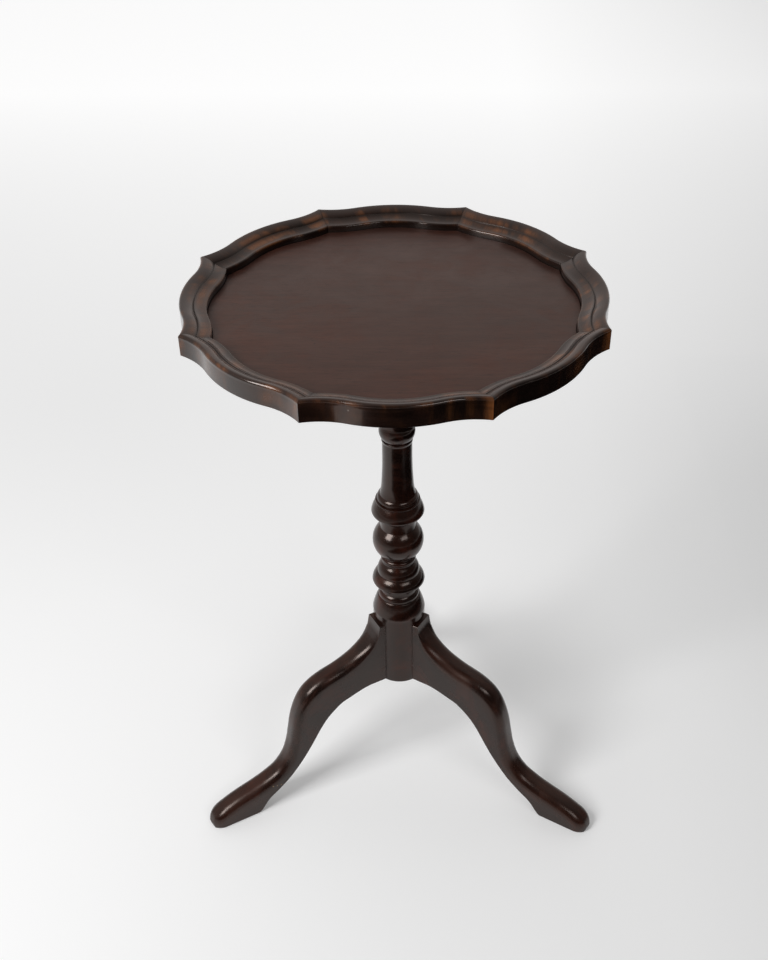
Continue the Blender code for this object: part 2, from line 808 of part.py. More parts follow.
# The outline's (x, z) lies flat, so it is stood up to face along +Y.
strap.transform(
    Matrix.Translation((0, GUIDE_FRONT + GUIDE_LENGTH, 0))
    @ Matrix.Rotation(math.radians(90), 4, "X")
)
catch_guide = add_object("catch_guide", strap, brass, tilt_axis)
for side, sign in (("left", -1), ("right", 1)):
    wood_screw(
        f"guide_screw_{side}",
        (sign * 10.6 * MM, GUIDE_FRONT + GUIDE_LENGTH / 2, foot_bottom),
        (0, 0, -1),
        7.2 * MM,
        1.3 * MM,
        (catch_guide, catch_plate, top_panel),
        tilt_axis,
    )
    wood_screw(
        f"plate_screw_{side}",
        (sign * 10.6 * MM, PLATE_FRONT + PLATE_LENGTH - 5 * MM, PLATE_BOTTOM),
        (0, 0, -1),
        5.6 * MM,
        1.3 * MM,
        (catch_plate, top_panel),
        tilt_axis,
    )

bolt_slide = empty("bolt_slide", (0, AXIS_Y + BOLT_NOSE, BOLT_BOTTOM))
catch_bolt = add_object(
    "catch_bolt",
    box_mesh(
        "catch_bolt",
        (-BOLT_WIDTH / 2, BOLT_NOSE, BOLT_BOTTOM),
        (BOLT_WIDTH / 2, BOLT_NOSE + BOLT_LENGTH, BOLT_TOP),
    ),
    brass,
    bolt_slide,
)

# The knob is turned in one piece with a stud that screws into the bolt.
KNOB_Y = BOLT_NOSE + 32.0 * MM
STUD_RADIUS = 1.6 * MM
KNOB_PROFILE = (
    (0, 3.6, 0), (1.6, 3.6, 0), (1.6, -0.3, 0), (3.6, -0.3, 0), (3.6, -1.1, 0),
    (2.2, -1.8, 0), (2.2, -3.4, -0.3), (4.0, -4.6, 0), (4.0, -8.6, 1.6), (0, -10.2, 0.8),
)
knob_mesh = turned_mesh("catch_knob", bowed_line(KNOB_PROFILE, 45.0), 16)
knob_mesh.transform(Matrix.Translation((0, KNOB_Y, BOLT_BOTTOM)))
catch_knob = add_object("catch_knob", knob_mesh, brass, bolt_slide)
smooth(catch_knob)
stud_hole = turned_mesh(
    "stud_hole",
    [
        (0, 3.6 * MM + GAP),
        (STUD_RADIUS + GAP, 3.6 * MM + GAP),
        (STUD_RADIUS + GAP, -1 * MM),
        (0, -1 * MM),
    ],
    16,
)
stud_hole.transform(Matrix.Translation((0, KNOB_Y, BOLT_BOTTOM)))
boolean(catch_bolt, add_object("stud_hole", stud_hole, rides=bolt_slide))

# The keeper on the block, and the mortise behind it that the bolt enters.
KEEPER_HALF_WIDTH = 15.0 * MM
KEEPER_BOTTOM = BOLT_BOTTOM - 6.0 * MM
KEEPER_TOP = BLOCK_TOP - 0.2 * MM
MORTISE_DEPTH = 7.0 * MM
MORTISE_SLACK = 0.5 * MM
keeper_plate = add_object(
    "keeper_plate",
    box_mesh(
        "keeper_plate",
        (-KEEPER_HALF_WIDTH, BLOCK_HALF + GAP, KEEPER_BOTTOM),
        (KEEPER_HALF_WIDTH, KEEPER_FACE, KEEPER_TOP),
    ),
    brass,
)
mortise = add_object(
    "keeper_mortise",
    box_mesh(
        "keeper_mortise",
        (
            -BOLT_WIDTH / 2 - MORTISE_SLACK,
            BLOCK_HALF - MORTISE_DEPTH,
            BOLT_BOTTOM - MORTISE_SLACK,
        ),
        (
            BOLT_WIDTH / 2 + MORTISE_SLACK,
            KEEPER_FACE + 5 * MM,
            BOLT_TOP + MORTISE_SLACK,
        ),
    ),
)
boolean(tilt_block, mortise)
boolean(keeper_plate, mortise)
for side, sign in (("left", -1), ("right", 1)):
    wood_screw(
        f"keeper_screw_{side}",
        (sign * 10.5 * MM, KEEPER_FACE, (KEEPER_BOTTOM + KEEPER_TOP) / 2),
        (0, 1, 0),
        11 * MM,
        1.3 * MM,
        (keeper_plate, tilt_block),
    )
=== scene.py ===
"""Tilt top tripod table in dark stained mahogany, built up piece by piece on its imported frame."""

import math

import bmesh
import bpy
from mathutils import Matrix, Vector


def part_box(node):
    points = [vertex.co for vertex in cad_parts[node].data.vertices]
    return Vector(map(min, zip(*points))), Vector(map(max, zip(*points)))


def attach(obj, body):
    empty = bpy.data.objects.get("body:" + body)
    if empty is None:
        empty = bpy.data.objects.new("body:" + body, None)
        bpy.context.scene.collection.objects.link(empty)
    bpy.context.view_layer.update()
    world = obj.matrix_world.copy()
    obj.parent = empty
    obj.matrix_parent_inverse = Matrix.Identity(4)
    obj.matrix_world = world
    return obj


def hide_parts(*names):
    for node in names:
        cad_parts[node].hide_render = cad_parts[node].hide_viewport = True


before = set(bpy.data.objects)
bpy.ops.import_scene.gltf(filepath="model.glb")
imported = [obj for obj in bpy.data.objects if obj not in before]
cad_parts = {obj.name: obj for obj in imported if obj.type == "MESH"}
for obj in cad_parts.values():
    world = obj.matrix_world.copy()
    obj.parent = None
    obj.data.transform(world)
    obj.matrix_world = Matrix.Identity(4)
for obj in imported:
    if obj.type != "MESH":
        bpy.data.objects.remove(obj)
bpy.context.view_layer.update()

MM = 0.001


# ---------------------------------------------------------------- the column
# One length of mahogany turned between centres, from a round base that takes the legs, past
# rings and a ball, to a trumpet-shaped shaft and a necked head. It is stained nearly black
# under lacquer, and the red of the wood comes through in clouds.

low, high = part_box("column")
AXIS = (low + high) / 2

# Radius, height and bow of each stretch in millimetres, from the tenon's top down.
COLUMN_PROFILE = (
    (0, 587.1, 0), (14, 587.1, 0), (14, 563.1, 0), (19.7, 563.1, 0), (20, 562.8, 0.08),
    (20, 559.5, 0), (19, 558.5, -0.1), (19, 550.5, 4.0), (17.6, 549.5, -0.1),
    (15.9, 472, -1.0), (16.6, 463, -0.2), (14.7, 447.4, 2.6),
    (15.7, 446.8, 0.1), (15.7, 445.4, 0.15), (15.2, 442.6, -0.2), (15.2, 434, 0),
    (16.3, 397, -0.35), (18.6, 380, -0.5), (21.6, 374, 0.9),
    (21.1, 373.2, 0), (23.1, 372.6, 0.1), (23.2, 371.4, 0.15), (22.8, 370.4, 0),
    (27.6, 358.5, 0.6), (25.0, 354.7, 0.7), (19.3, 352.5, -0.1), (18.4, 350, -0.4),
    (18.8, 337.6, -0.2), (17.4, 300.6, 8.9),
    (16.6, 300.0, -0.1), (16.8, 298.2, 0), (17.8, 293.4, 1.4), (17.2, 291.8, -0.1),
    (17.8, 289.4, -0.2), (22.6, 277.2, 1.3), (22.0, 276.4, 0), (23.0, 275.7, 0.05),
    (28.2, 266, 1.0), (25.2, 262.3, 0.7), (20.6, 259.6, 0), (19.9, 258, -0.1),
    (19.7, 251.4, -0.3), (22.1, 244.8, 1.0), (21.7, 243.9, 0), (22.7, 243.2, 0.05),
    (28.4, 226, 0.6), (28.2, 223.5, 0.1), (28.2, 133.8, 0), (27.4, 133, 0.2), (0, 133, 0),
)


def bow(start, end, rise, spacing):
    """Points after start on the arc to end that rises to the left of the way it goes."""
    start, end = Vector(start), Vector(end)
    half = (end - start).length / 2
    along = (end - start).normalized()
    left = Vector((-along.y, along.x)) * (1 if rise >= 0 else -1)
    rise = max(abs(rise), 1e-7)
    radius = (half * half + rise * rise) / (2 * rise)
    reach = 2 * math.atan2(rise, half)
    count = max(2, math.ceil(2 * half / spacing), math.ceil(math.degrees(2 * reach) / 7))
    middle = (start + end) / 2
    found = []
    for step in range(1, count + 1):
        angle = -reach + 2 * reach * step / count
        out = radius * math.cos(angle) - (radius - rise)
        found.append(tuple(middle + along * radius * math.sin(angle) + left * out))
    return found


def bowed_line(stretches, spacing=0.003):
    """A line through (x, y, rise) in millimetres, where rise bows the stretch up to the point."""
    line = [(stretches[0][0] * MM, stretches[0][1] * MM)]
    for x, y, rise in stretches[1:]:
        line += bow(line[-1], (x * MM, y * MM), rise * MM, spacing)
    return line


def closed_mesh(work, name):
    """The plain mesh of a finished bmesh, with its faces turned outwards."""
    bmesh.ops.recalc_face_normals(work, faces=work.faces)
    mesh = bpy.data.meshes.new(name)
    work.to_mesh(mesh)
    work.free()
    return mesh


def lathe_mesh(name, profile, sides):
    """A (radius, height) profile that starts and ends on the axis, turned about +Z."""
    work = bmesh.new()
    rings = []
    for radius, height in profile:
        if radius < 1e-6:
            rings.append([work.verts.new((0, 0, height))])
            continue
        rings.append(
            [
                work.verts.new(
                    (
                        radius * math.cos(2 * math.pi * i / sides),
                        radius * math.sin(2 * math.pi * i / sides),
                        height,
                    )
                )
                for i in range(sides)
            ]
        )
    for upper, lower in zip(rings, rings[1:]):
        for i in range(sides):
            j = (i + 1) % sides
            corners = [upper[i % len(upper)], upper[j % len(upper)]]
            corners += [lower[j % len(lower)], lower[i % len(lower)]]
            corners = [c for n, c in enumerate(corners) if c not in corners[:n]]
            if len(corners) > 2:
                work.faces.new(corners)
    return closed_mesh(work, name)


def finished_piece(name, mesh, finish, body, degrees=35.0):
    """A finished mesh as a piece that rides on a body, shaded smooth between its arrises."""
    mesh.shade_smooth()
    mesh.set_sharp_from_angle(angle=math.radians(degrees))
    mesh.materials.clear()
    mesh.materials.append(finish)
    piece = bpy.data.objects.new(name, mesh)
    bpy.context.scene.collection.objects.link(piece)
    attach(piece, body)
    return piece


MIX_SHARE, MIX_FIRST, MIX_SECOND, MIX_RESULT = 0, 6, 7, 2  # the colour sockets of a Mix node


class Shop:
    """The nodes of one finish, with short ways to add and join them."""

    def __init__(self, name):
        self.material = bpy.data.materials.new(name)
        self.material.use_nodes = True
        self.nodes = self.material.node_tree.nodes
        self.links = self.material.node_tree.links
        self.shader = self.nodes["Principled BSDF"]

    def feed(self, socket, value):
        """Links a socket to another one's output, or sets it to a plain value."""
        if isinstance(value, bpy.types.NodeSocket):
            self.links.new(value, socket)
        else:
            socket.default_value = value

    def add(self, kind, settings=(), **inputs):
        made = self.nodes.new(kind)
        for key, value in dict(settings).items():
            setattr(made, key, value)
        for key, value in inputs.items():
            self.feed(made.inputs[key.replace("_", " ")], value)
        return made

    def math(self, operation, first, second=0.5, clamp=False):
        made = self.add("ShaderNodeMath", {"operation": operation, "use_clamp": clamp})
        self.feed(made.inputs[0], first)
        self.feed(made.inputs[1], second)
        return made.outputs[0]

    def vector(self, operation, first, second):
        made = self.add("ShaderNodeVectorMath", {"operation": operation})
        self.feed(made.inputs[0], first)
        self.feed(made.inputs[1], second)
        return made.outputs["Vector"]

    def length(self, place):
        made = self.add("ShaderNodeVectorMath", {"operation": "LENGTH"})
        self.feed(made.inputs[0], place)
        return made.outputs["Value"]

    def object_place(self):
        return self.add("ShaderNodeTexCoord").outputs["Object"]

    def noise(self, place, scale, detail=3.0, roughness=0.55, distortion=0.0):
        made = self.add(
            "ShaderNodeTexNoise",
            Vector=place,
            Scale=scale,
            Detail=detail,
            Roughness=roughness,
            Distortion=distortion,
        )
        return made.outputs["Fac"]

    def ramp(self, value, start, end, low=0.0, high=1.0):
        made = self.add(
            "ShaderNodeMapRange",
            {"interpolation_type": "SMOOTHSTEP"},
            Value=value,
            From_Min=start,
            From_Max=end,
            To_Min=low,
            To_Max=high,
        )
        return made.outputs["Result"]

    def mix(self, share, first, second, blend="MIX"):
        made = self.add("ShaderNodeMix", {"data_type": "RGBA", "blend_type": blend})
        self.feed(made.inputs[MIX_SHARE], share)
        for place, colour in ((MIX_FIRST, first), (MIX_SECOND, second)):
            linked = isinstance(colour, bpy.types.NodeSocket)
            self.feed(made.inputs[place], colour if linked else (*colour, 1))
        return made.outputs[MIX_RESULT]

    def stretched(self, place, scale):
        made = self.add("ShaderNodeMapping", Vector=place, Scale=scale)
        return made.outputs["Vector"]

    def attribute(self, name, output="Fac"):
        return self.add("ShaderNodeAttribute", {"attribute_name": name}).outputs[output]

    def bump(self, height, distance, strength=1.0, under=None):
        made = self.add(
            "ShaderNodeBump", Height=height, Distance=distance, Strength=strength
        )
        if under is not None:
            self.links.new(under, made.inputs["Normal"])
        return made.outputs["Normal"]


STAIN = ((0.0085, 0.0036, 0.0026), (0.024, 0.0085, 0.0050), (0.050, 0.0125, 0.0058))


def mahogany(
    name,
    grain,
    along,
    stain=STAIN,
    red=0.5,
    worn=None,
    bare=(0.16, 0.055, 0.017),
    grime_and_shade=None,
    gloss=0.34,
    bands=(1.0, 1.6, 1.6),
    coat=0.15,
    lacquer=0.15,
    streaky=0.38,
    marks=(),
):
    """Stained mahogany under lacquer, with its grain along one axis of the place it reads.

    grain is "attribute" for the piece's own grain attribute or "object" for Object coordinates,
    stain is the dark, brown and ruddy colour, worn and the darkening argument name attributes,
    the darkening being dirt in part and painted shade in part, bands stretches the worn patches,
    coat is the lacquer's roughness, and each mark is x, y, z, reach and tint.
    """
    shop = Shop(name)
    if grain == "attribute":  # each copy of a piece is cut from another part of the board
        shift = shop.vector("SCALE", (0.91, 0.37, 0.53), (0, 0, 0))
        shop.links.new(shop.attribute("copy"), shift.node.inputs["Scale"])
        place = shop.vector("ADD", shop.attribute("grain", "Vector"), shift)
    else:
        place = shop.object_place()
    long = [1.0, 1.0, 1.0]
    long["XYZ".index(along)] = 0.07
    figure_place = shop.stretched(place, tuple(0.35 + 0.65 * s for s in long))
    grain_place = shop.stretched(place, tuple(long))
    figure = shop.noise(figure_place, 16.0, 3.0, 0.5, 0.6)
    streak = shop.noise(grain_place, 190.0, 4.0, 0.6, 0.25)
    pores = shop.ramp(shop.noise(grain_place, 1500.0, 2.0, 0.5), 0.34, 0.44)
    cloud = shop.noise(place, 23.0, 4.0, 0.6, 0.8)

    dark, brown, ruddy = stain
    colour = shop.mix(shop.ramp(figure, 0.35, 0.70), dark, brown)
    redness = shop.ramp(cloud, 0.48, 0.72, 0.0, red)
    colour = shop.mix(redness, colour, ruddy)
    streaks = shop.ramp(streak, 0.30, 0.72, 1.0 - streaky, 1.0 + 0.6 * streaky)
    shade = shop.add("ShaderNodeCombineColor", Red=streaks, Green=streaks, Blue=streaks)
    colour = shop.mix(1.0, colour, shade.outputs[0], "MULTIPLY")
    open_pores = shop.math("MULTIPLY", shop.math("SUBTRACT", 1.0, pores), 0.55)
    colour = shop.mix(open_pores, colour, (0.004, 0.002, 0.0016))
    rough = shop.ramp(cloud, 0.3, 0.8, gloss - 0.04, gloss + 0.10)
    if worn is not None:
        patch = shop.noise(shop.stretched(place, bands), 31.0, 4.0, 0.62, 0.4)
        patch = shop.ramp(patch, 0.44, 0.66)
        rub = shop.math("MULTIPLY", shop.attribute(worn), patch)
        rub = shop.math("MULTIPLY", rub, shop.ramp(streak, 0.25, 0.6, 0.55, 1.0), True)
        colour = shop.mix(rub, colour, bare)
        rough = shop.math("ADD", rough, shop.math("MULTIPLY", rub, 0.08))
    # Darkening that is dirt in part (the rim's mitres) and painted shade in part (the rim's inner
    # step).
    if grime_and_shade is not None:
        dirt_and_shade = shop.attribute(grime_and_shade)
        colour = shop.mix(shop.math("MULTIPLY", dirt_and_shade, 0.85), colour, (0.0035, 0.002, 0.0016))
        rough = shop.math("ADD", rough, shop.math("MULTIPLY", dirt_and_shade, 0.25), True)
    here = shop.object_place() if marks else None
    for x, y, z, reach, tint in marks:
        away = shop.length(shop.vector("SUBTRACT", here, (x, y, z)))
        ragged = shop.math("MULTIPLY", shop.noise(here, 900.0, 2.0), reach)
        ragged = shop.math("ADD", away, ragged)
        colour = shop.mix(shop.ramp(ragged, reach, reach * 1.6, 1.0, 0.0), colour, tint)
    shop.links.new(colour, shop.shader.inputs["Base Color"])
    shop.links.new(rough, shop.shader.inputs["Roughness"])
    ripple = shop.noise(grain_place, 60.0, 2.0)
    normal = shop.bump(pores, 0.00003, 0.55)
    normal = shop.bump(ripple, 0.00012, 0.5, normal)
    shop.links.new(normal, shop.shader.inputs["Normal"])
    shop.shader.inputs["Coat Weight"].default_value = lacquer
    shop.shader.inputs["Coat Roughness"].default_value = coat
    shop.shader.inputs["Coat IOR"].default_value = 1.45
    shop.shader.inputs["IOR"].default_value = 1.45
    shop.shader.inputs["Specular IOR Level"].default_value = 0.5
    shop.shader.inputs["Specular Tint"].default_value = (1.0, 0.82, 0.74, 1)
    return shop


COLUMN_STAIN = (
    (0.0060, 0.0020, 0.0012), (0.0200, 0.0056, 0.0030), (0.046, 0.0090, 0.0036)
)
column_finish = mahogany(
    "column_mahogany", "object", "Z", stain=COLUMN_STAIN, red=0.9, gloss=0.18, coat=0.12
)
column_mesh = lathe_mesh("column_turned", bowed_line(COLUMN_PROFILE), 128)
column_mesh.transform(Matrix.Translation((AXIS.x, AXIS.y, 0)))
column = finished_piece(
    "column_turned", column_mesh, column_finish.material, "base"
)
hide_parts("column")


# ---------------------------------------------------------------- the three legs
# Cabriole legs bandsawn from 26 mm mahogany, rounded over their upper edges and square below,
# each slid up into the column on a dovetail. The stain is thin on the rounded edges where
# hands and feet have rubbed it.

LEG_HALF_WIDTH = 13.0 * MM
FOOT_REACH = 246.0 * MM
TOE_CENTRE = 232.0 * MM
LEG_STATIONS = (
    ((20, 215.2), (20, 132.7), 1.5),
    ((30.9, 214.9), (36, 132.7), 1.5),
    ((32.4, 206.0), (44, 132.7), 5.0),
    ((40.6, 192.3), (52, 131.6), 8.5),
    ((56.8, 179.7), (60.8, 129.2), 10.0),
    ((77.7, 170.4), (70.2, 126.1), 10.0),
    ((100.0, 163.9), (80.2, 122.6), 10.0),
    ((115.4, 156.0), (90.1, 115.6), 10.0),
    ((125.4, 145.8), (98.0, 108.4), 10.0),
    ((132.7, 131.5), (105.5, 98.9), 10.0),
    ((137.8, 115.2), (112.2, 88.4), 10.0),
    ((141.1, 97.8), (119.1, 76.8), 10.0),
    ((144.9, 79.6), (126.9, 64.9), 10.0),
    ((151.8, 61.8), (135.9, 52.8), 10.0),
    ((163.1, 48.5), (148.9, 38.0), 10.0),
    ((176.5, 41.3), (163.1, 26.0), 10.0),
    ((189.0, 36.8), (177.5, 15.4), 10.0),
    ((201.7, 33.1), (190.6, 0), 10.0),
    ((212.4, 29.8), (204, 0), 10.0),
    ((221.5, 26.3), (214, 0), 10.0),
    ((228.8, 23.0), (224, 0), 10.0),
    ((235.5, 18.8), (232, 0), 9.0),
    ((242.0, 13.0), (239, 0), 7.0),
    ((246, 5.4), (243.5, 0), 3.5),
)
LEG_FIRST_CURVED = 2
LEG_FIRST_FLAT = 17  # from this station on, the sole lies on the floor


def eased(before, start, end, after, share):
    """A point between start and end on the smooth curve through four stations."""
    return 0.5 * (
        2 * start
        + (end - before) * share
        + (2 * before - 5 * start + 4 * end - after) * share**2
        + (3 * start - before - 3 * end + after) * share**3
    )


def leg_stations(steps=5):
    """The stations as flat vectors, with smooth ones between those of the curved stretch."""
    rows = [Vector((*upper, *lower)) for upper, lower, _ in LEG_STATIONS]
    turns = [rounding for _, _, rounding in LEG_STATIONS]
    found = []
    for i in range(len(rows) - 1):
        curved = i >= LEG_FIRST_CURVED
        before = rows[i - 1] if i > LEG_FIRST_CURVED else rows[i] * 2 - rows[i + 1]
        after = rows[i + 2] if i + 2 < len(rows) else rows[i + 1] * 2 - rows[i]
        count = steps if curved else 2
        for step in range(count):
            share = step / count
            if curved:
                row = eased(before, rows[i], rows[i + 1], after, share)
            else:
                row = rows[i].lerp(rows[i + 1], share)
            low = max(row[3], 0.0) if i < LEG_FIRST_FLAT else 0.0
            rounding = turns[i] + (turns[i + 1] - turns[i]) * share
            found.append(((row[0], max(row[1], 0.0)), (row[2], low), rounding))
    found.append(LEG_STATIONS[-1])
    return found


def leg_section(upper, lower, rounding, corner_steps=8):
    """Places round one section across the leg, each with how near it is to the upper arris."""
    upper, lower = Vector(upper) * MM, Vector(lower) * MM
    depth = (lower - upper).length
    down = (lower - upper).normalized()
    rounding = min(rounding * MM, 0.8 * depth)
    ease = min(0.9 * MM, 0.1 * depth)
    half = []
    for step in range(corner_steps + 1):
        angle = math.radians(90) * step / corner_steps
        half.append(
            (
                LEG_HALF_WIDTH - rounding + rounding * math.sin(angle),
                rounding - rounding * math.cos(angle),
                1.0 - 0.5 * abs(step / corner_steps - 0.45),
            )
        )
    for share in (0.25, 0.5, 0.75):
        half.append((LEG_HALF_WIDTH, rounding + (depth - ease - rounding) * share, 0.0))
    half += [(LEG_HALF_WIDTH, depth - ease, 0.25), (LEG_HALF_WIDTH - ease, depth, 0.25)]
    section = []
    for side, below, rub in half + [(-s, b, r) for s, b, r in reversed(half)]:
        place = upper + down * below
        past = max(0.0, place.x - TOE_CENTRE) / (FOOT_REACH - TOE_CENTRE + 0.3 * MM)
        side *= math.sqrt(max(0.0, 1 - past * past))
        section.append(((place.x, side, place.y), rub))
    return section


def set_attribute(mesh, name, kind, values):
    layer = mesh.attributes.new(name, kind, "POINT")
    if kind == "FLOAT_VECTOR":
        layer.data.foreach_set("vector", [x for value in values for x in value])
    else:
        layer.data.foreach_set("value", values)


def leg_mesh(name):
    """One leg along +X from the column's axis, with its grain, wear and depth as attributes."""
    work = bmesh.new()
    rings, grain, worn = [], [], []
    run, last = 0.0, None
    for station in leg_stations():
        middle = (Vector(station[0]) + Vector(station[1])) * MM / 2
        run += (middle - last).length if last is not None else 0.0
        last = middle
        ring = []
        for place, rub in leg_section(*station):
            ring.append(work.verts.new(place))
            across = math.dist((place[0], place[2]), tuple(Vector(station[0]) * MM))
            grain.append((run, place[1], across))
            worn.append(rub)
        rings.append(ring)
    for first, second in zip(rings, rings[1:]):
        count = len(first)
        for i in range(count):
            j = (i + 1) % count
            work.faces.new((first[i], first[j], second[j], second[i]))
    work.faces.new(rings[0])
    work.faces.new(list(reversed(rings[-1])))
    mesh = closed_mesh(work, name)
    set_attribute(mesh, "grain", "FLOAT_VECTOR", grain)
    set_attribute(mesh, "worn", "FLOAT", worn)
    return mesh


def ring_tree():
    """Copies of one piece at equal angles about an upright axis, each with its own number."""
    tree = bpy.data.node_groups.new("ring_of_copies", "GeometryNodeTree")
    tree.interface.new_socket("Piece", in_out="INPUT", socket_type="NodeSocketGeometry")
    for label, kind in (
        ("Copies", "NodeSocketInt"),
        ("First Angle", "NodeSocketFloat"),
        ("Centre", "NodeSocketVector"),
        ("Finish", "NodeSocketMaterial"),
    ):
        tree.interface.new_socket(label, in_out="INPUT", socket_type=kind)
    tree.interface.new_socket("Ring", in_out="OUTPUT", socket_type="NodeSocketGeometry")
    nodes, links = tree.nodes, tree.links
    given = nodes.new("NodeGroupInput")
    made = nodes.new("NodeGroupOutput")
    points = nodes.new("GeometryNodePoints")
    number = nodes.new("GeometryNodeInputIndex")
    share = nodes.new("ShaderNodeMath")
    share.operation = "DIVIDE"
    share.inputs[0].default_value = 2 * math.pi
    angle = nodes.new("ShaderNodeMath")
    angle.operation = "MULTIPLY_ADD"
    euler = nodes.new("ShaderNodeCombineXYZ")
    turn = nodes.new("FunctionNodeEulerToRotation")
    place = nodes.new("GeometryNodeInstanceOnPoints")
    store = nodes.new("GeometryNodeStoreNamedAttribute")
    store.data_type = "FLOAT"
    store.domain = "INSTANCE"
    store.inputs["Name"].default_value = "copy"
    shift = nodes.new("GeometryNodeTransform")
    real = nodes.new("GeometryNodeRealizeInstances")
    finish = nodes.new("GeometryNodeSetMaterial")
    links.new(given.outputs["Copies"], points.inputs["Count"])
    links.new(given.outputs["Copies"], share.inputs[1])
    links.new(number.outputs[0], angle.inputs[0])
    links.new(share.outputs[0], angle.inputs[1])
    links.new(given.outputs["First Angle"], angle.inputs[2])
    links.new(angle.outputs[0], euler.inputs["Z"])
    links.new(euler.outputs[0], turn.inputs[0])
    links.new(points.outputs[0], place.inputs["Points"])
    links.new(given.outputs["Piece"], place.inputs["Instance"])
    links.new(turn.outputs[0], place.inputs["Rotation"])
    links.new(place.outputs[0], store.inputs["Geometry"])
    links.new(number.outputs[0], store.inputs["Value"])
    links.new(store.outputs[0], shift.inputs["Geometry"])
    links.new(given.outputs["Centre"], shift.inputs["Translation"])
    links.new(shift.outputs[0], real.inputs[0])
    links.new(real.outputs[0], finish.inputs["Geometry"])
    links.new(given.outputs["Finish"], finish.inputs["Material"])
    links.new(finish.outputs[0], made.inputs[0])
    return tree


def through_nodes(name, source, tree, values):
    """The plain mesh that a node tree makes of a source mesh."""
    holder = bpy.data.objects.new(name, source)
    bpy.context.scene.collection.objects.link(holder)
    step = holder.modifiers.new(tree.name, "NODES")
    step.node_group = tree
    for item in tree.interface.items_tree:
        if item.in_out == "INPUT" and item.name in values:
            step[item.identifier] = values[item.name]
    bpy.context.view_layer.update()
    graph = bpy.context.evaluated_depsgraph_get()
    mesh = bpy.data.meshes.new_from_object(holder.evaluated_get(graph))
    holder.modifiers.remove(step)
    bpy.data.objects.remove(holder, do_unlink=True)
    mesh.name = name
    return mesh


LEG_MARKS = (  # a pale chip along the left ankle and scratches by the right socket
    (-0.1508, -0.1280, 0.0368, 0.0010, (0.20, 0.13, 0.07)),
    (-0.1466, -0.1255, 0.0356, 0.0010, (0.20, 0.13, 0.07)),
    (-0.1424, -0.1231, 0.0345, 0.0010, (0.20, 0.13, 0.07)),
    (-0.1381, -0.1207, 0.0333, 0.0010, (0.20, 0.13, 0.07)),
    (-0.1339, -0.1182, 0.0321, 0.0010, (0.20, 0.13, 0.07)),
    (0.0271, -0.0560, 0.1980, 0.0008, (0.22, 0.15, 0.10)),
    (0.0304, -0.0579, 0.1938, 0.0008, (0.22, 0.15, 0.10)),
    (0.0337, -0.0598, 0.1881, 0.0008, (0.22, 0.15, 0.10)),
    (0.0371, -0.0617, 0.1824, 0.0008, (0.22, 0.15, 0.10)),
)

ring_of_copies = ring_tree()
leg_finish = mahogany(
    "leg_mahogany", "attribute", "X", stain=COLUMN_STAIN, red=0.5, worn="worn",
    bare=(0.028, 0.0085, 0.0045), gloss=0.24, coat=0.22, marks=LEG_MARKS,
)
legs_mesh = through_nodes(
    "legs_shaped",
    leg_mesh("leg_shaped"),
    ring_of_copies,
    {
        "Copies": 3,
        "First Angle": math.radians(-150),
        "Centre": (AXIS.x, AXIS.y, 0.0),
        "Finish": leg_finish.material,
    },
)
legs = finished_piece(
    "legs_shaped", legs_mesh, leg_finish.material, "base", 40.0
)
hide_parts("leg_front_left", "leg_front_right", "leg_back")


# ---------------------------------------------------------------- the panel of the top
# A thin mahogany board with its edge in the rim's rebate, stained and lacquered like the rest.
# Years of use have left faint marks and dulled patches in the lacquer.

LOBES = 8
LOBE_HALF_ANGLE = math.pi / LOBES
CUSP_RADIUS = 201.3 * MM
CROWN_RADIUS = 194.8 * MM
CROWN_ARC = 120.0 * MM
HOLLOW_ARC = 70.0 * MM
TOP_TURN = math.radians(1.6)
TOP_SHIFT = (-1.5 * MM, 0.6 * MM)
TOP_CENTRE = Vector((AXIS.x + TOP_SHIFT[0], AXIS.y + TOP_SHIFT[1], 0))
RIM_WIDTH = 24.5 * MM


def lobe_line(inset, crown_steps=28, hollow_steps=12, short=0.0):
    """One lobe's line, set in from the edge, from mitre to mitre, with its middle on +Y."""
    crown_centre = Vector((0, CROWN_RADIUS - CROWN_ARC))
    mitre = Vector((math.sin(LOBE_HALF_ANGLE), math.cos(LOBE_HALF_ANGLE)))
    to_cusp = mitre * CUSP_RADIUS - crown_centre
    spread = CROWN_ARC + HOLLOW_ARC
    bend = math.acos(
        (spread**2 + to_cusp.length**2 - HOLLOW_ARC**2) / (2 * spread * to_cusp.length)
    )
    turn = math.atan2(to_cusp.x, to_cusp.y) - bend
    hollow_centre = crown_centre + Vector((math.sin(turn), math.cos(turn))) * spread
    radius = HOLLOW_ARC + inset
    along = hollow_centre.dot(mitre)
    off = math.sqrt(radius**2 - (hollow_centre - mitre * along).length_squared)
    end = mitre * (along - off) - hollow_centre
    first = math.atan2(-math.cos(turn), -math.sin(turn))
    last = math.atan2(end.y, end.x)
    last -= math.copysign(short / radius, last - first)
    right = []
    for step in range(crown_steps // 2 + 1):
        angle = turn * step / (crown_steps // 2)
        right.append(
            crown_centre + Vector((math.sin(angle), math.cos(angle))) * (CROWN_ARC - inset)
        )
    for step in range(1, hollow_steps + 1):
        angle = first + (last - first) * step / hollow_steps
        right.append(
            hollow_centre + Vector((math.cos(angle), math.sin(angle))) * radius
        )
    left = [Vector((-point.x, point.y)) for point in reversed(right[1:])]
    return left + right


PANEL_RINGS = (  # inset from the top's edge and height, from the underside up
    (19.8, 588.0), (19.8, 591.0), (24.8, 591.0), (24.8, 593.3), (25.0, 593.55), (25.4, 593.6),
)


